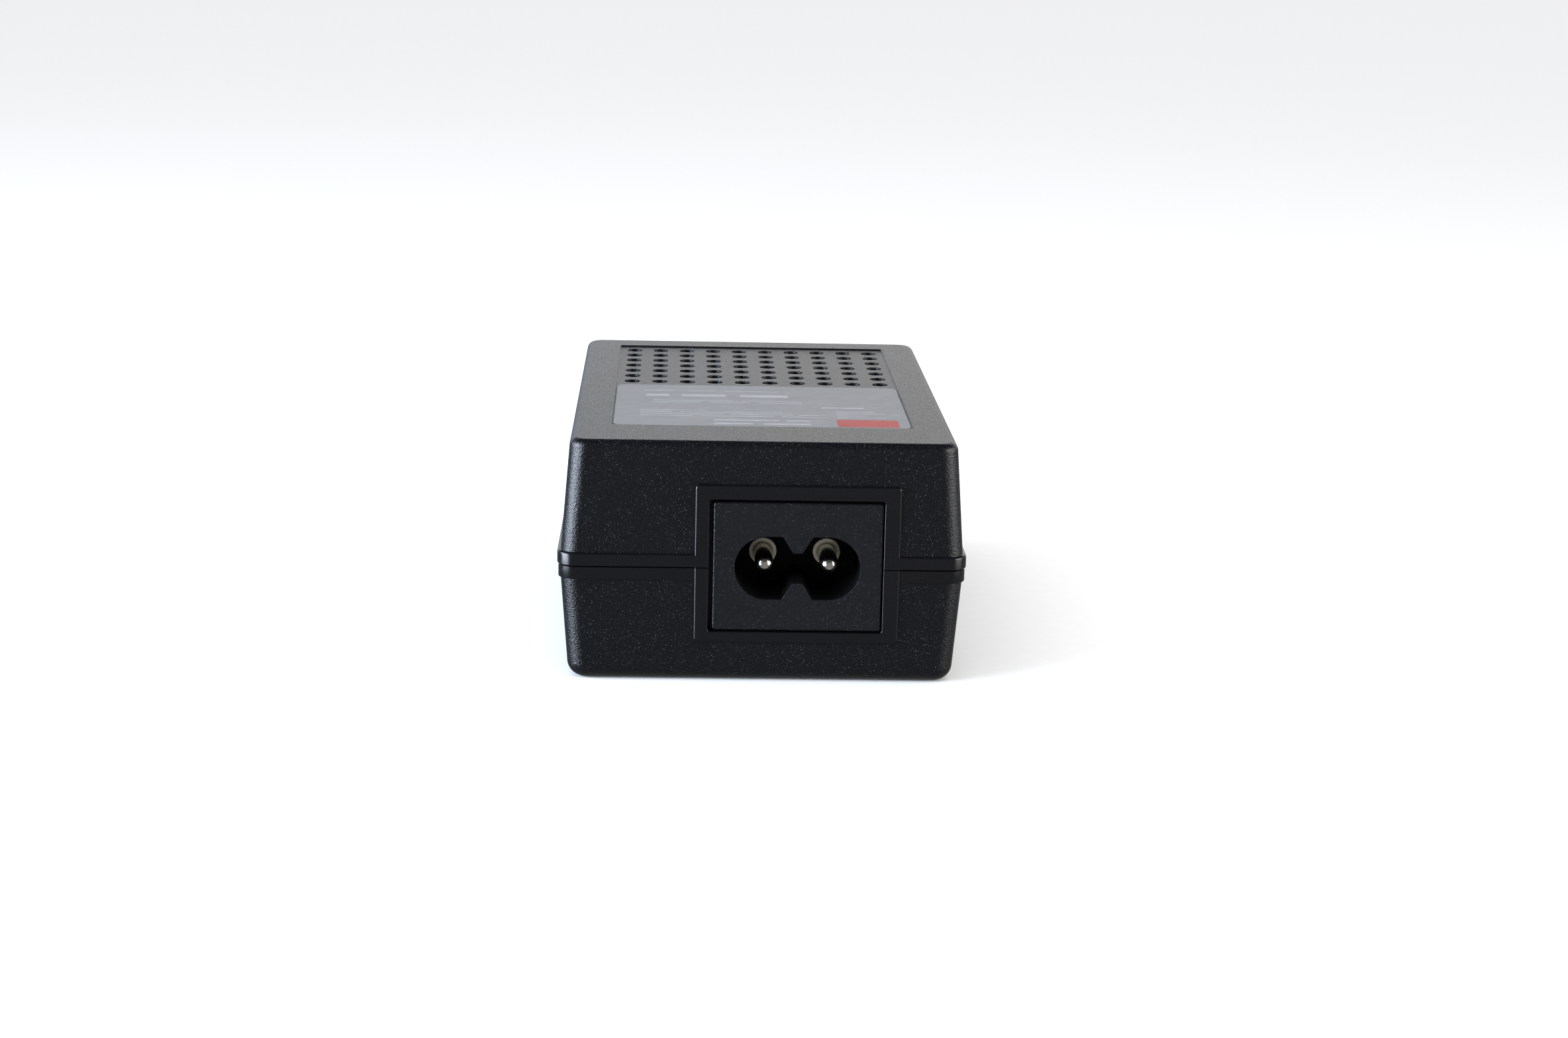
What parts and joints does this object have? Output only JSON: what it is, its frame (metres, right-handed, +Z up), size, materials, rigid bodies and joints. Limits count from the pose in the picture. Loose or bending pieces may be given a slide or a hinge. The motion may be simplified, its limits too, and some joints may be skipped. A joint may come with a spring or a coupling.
{
  "type": "power over ethernet injector",
  "caption": "Desktop power injector: two-shell black plastic case with a figure-8 mains inlet at one end, a vented, labelled top, and data and powered network jacks at the other end.",
  "frame": {"origin": "middle of the footprint, on the surface the case rests on", "axes": "+Y runs from the mains inlet end to the jack end, +X is to the right when the inlet faces the viewer, +Z is up"},
  "size_m": [0.054, 0.079, 0.0324],
  "materials": {
    "case_plastic": "black, fine spark-textured walls with a smooth satin band along the parting line",
    "inlet_plastic": "black, matte, lightly speckled",
    "jack_plastic": "black, satin",
    "carrier_plastic": "black, satin",
    "collar_plastic": "cream, satin",
    "nickel": "nickel plate, polished, slightly warm",
    "gold": "thin gold plate, polished",
    "label_film": "grey printed polyester film, satin, with plain pale print bars and one dull red block",
    "lamp_lens": "green tinted clear epoxy",
    "board": "green solder mask over glass-epoxy",
    "insulation": "amber polyester sheet",
    "epoxy": "black moulded epoxy",
    "sleeve": "black shrink sleeve with a plain stripe",
    "blue_coating": "blue dipped epoxy",
    "green_coating": "dark green dipped coating",
    "yellow_case": "yellow box capacitor case",
    "yellow_tape": "yellow polyester winding tape",
    "ferrite": "dark grey sintered ferrite",
    "copper_wire": "enamelled copper wire",
    "aluminium": "mill-finish plate",
    "steel": "zinc-plated steel"
  },
  "bodies": {
    "case": {"lower_case": "case_plastic", "upper_cover": "case_plastic", "rating_label": "label_film", "ac_inlet_housing": "inlet_plastic", "inlet_pin_left": "nickel", "inlet_pin_right": "nickel", "inlet_collar_left": "collar_plastic", "inlet_collar_right": "collar_plastic", "data_in_jack_housing": "jack_plastic", "data_in_contact_carrier": "carrier_plastic", "poe_out_jack_housing": "jack_plastic", "poe_out_contact_carrier": "carrier_plastic", "status_led": "lamp_lens", "main_board": "board", "insulation_sheet": "insulation", "mains_fuse": "epoxy", "bridge_rectifier": "epoxy", "switch_transistor": "epoxy", "control_chip": "epoxy", "transformer_bobbin": "epoxy", "feedback_optocoupler": "epoxy", "output_diode": "epoxy", "surge_varistor": "blue_coating", "safety_capacitor": "blue_coating", "inrush_thermistor": "green_coating", "interference_capacitor": "yellow_case", "transformer_winding": "yellow_tape", "choke_core": "ferrite", "transformer_core": "ferrite", "output_choke": "ferrite", "choke_winding_left": "copper_wire", "choke_winding_right": "copper_wire", "bulk_capacitor": "sleeve", "output_capacitor_1": "sleeve", "output_capacitor_2": "sleeve", "switch_heatsink": "aluminium", "output_heatsink": "aluminium", "switch_screw": "steel", "output_screw": "steel"},
    "data_in_contacts": {"data_in_contact_1": "gold", "data_in_contact_2": "gold", "data_in_contact_3": "gold", "data_in_contact_4": "gold", "data_in_contact_5": "gold", "data_in_contact_6": "gold", "data_in_contact_7": "gold", "data_in_contact_8": "gold"},
    "poe_out_contacts": {"poe_out_contact_1": "gold", "poe_out_contact_2": "gold", "poe_out_contact_3": "gold", "poe_out_contact_4": "gold", "poe_out_contact_5": "gold", "poe_out_contact_6": "gold", "poe_out_contact_7": "gold", "poe_out_contact_8": "gold"}
  },
  "joints": [
    {"name": "data_in_contacts_flex", "type": "hinge", "parent": "case", "child": "data_in_contacts", "pos_m": [-0.0102, 0.037, 0.0173], "axis": [-1, 0, 0], "range_deg": [0, 8], "stiffness_Nm_per_rad": 0.3},
    {"name": "poe_out_contacts_flex", "type": "hinge", "parent": "case", "child": "poe_out_contacts", "pos_m": [0.0102, 0.037, 0.0173], "axis": [-1, 0, 0], "range_deg": [0, 8], "stiffness_Nm_per_rad": 0.3}
  ]
}
